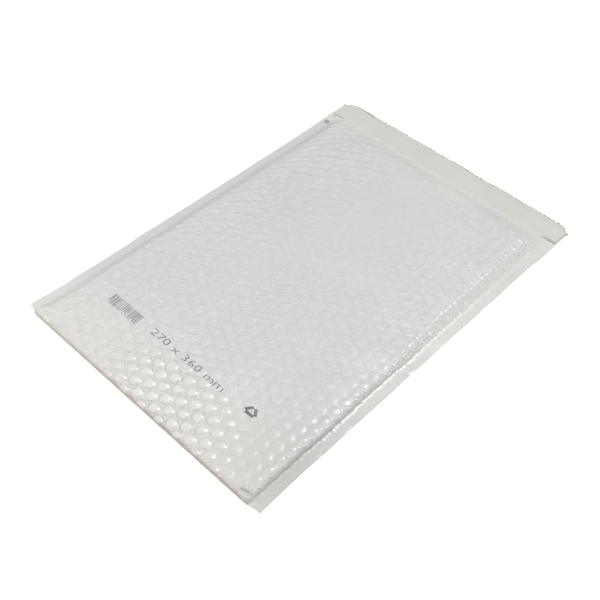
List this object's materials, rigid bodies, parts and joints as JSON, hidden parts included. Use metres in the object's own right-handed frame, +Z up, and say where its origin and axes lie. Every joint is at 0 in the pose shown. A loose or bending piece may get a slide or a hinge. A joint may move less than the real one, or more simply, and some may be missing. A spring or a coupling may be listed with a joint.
{
  "type": "padded envelope",
  "caption": "White padded mailing envelope lying flat and empty, with a welded bubble laminate pouch, pressed side seams and an open flap with a covered adhesive strip",
  "frame": {"origin": "on the underside, at the middle of the overall width and length", "axes": "+X across the width, to the right of the printed face with the flap away from the viewer; +Y from the bottom fold to the flap; +Z up out of the printed face"},
  "size_m": [0.29, 0.425, 0.009],
  "materials": {
    "white_film": "white opaque polyethylene film, semi-gloss, drawn down over the bubbles",
    "amber_adhesive": "pale amber hot-melt adhesive, tacky and slightly glossy",
    "cream_liner": "cream siliconised release paper, satin"
  },
  "bodies": {
    "root": {"bubble_pouch": "white_film", "adhesive_strip": "amber_adhesive", "release_liner": "cream_liner"}
  },
  "joints": []
}
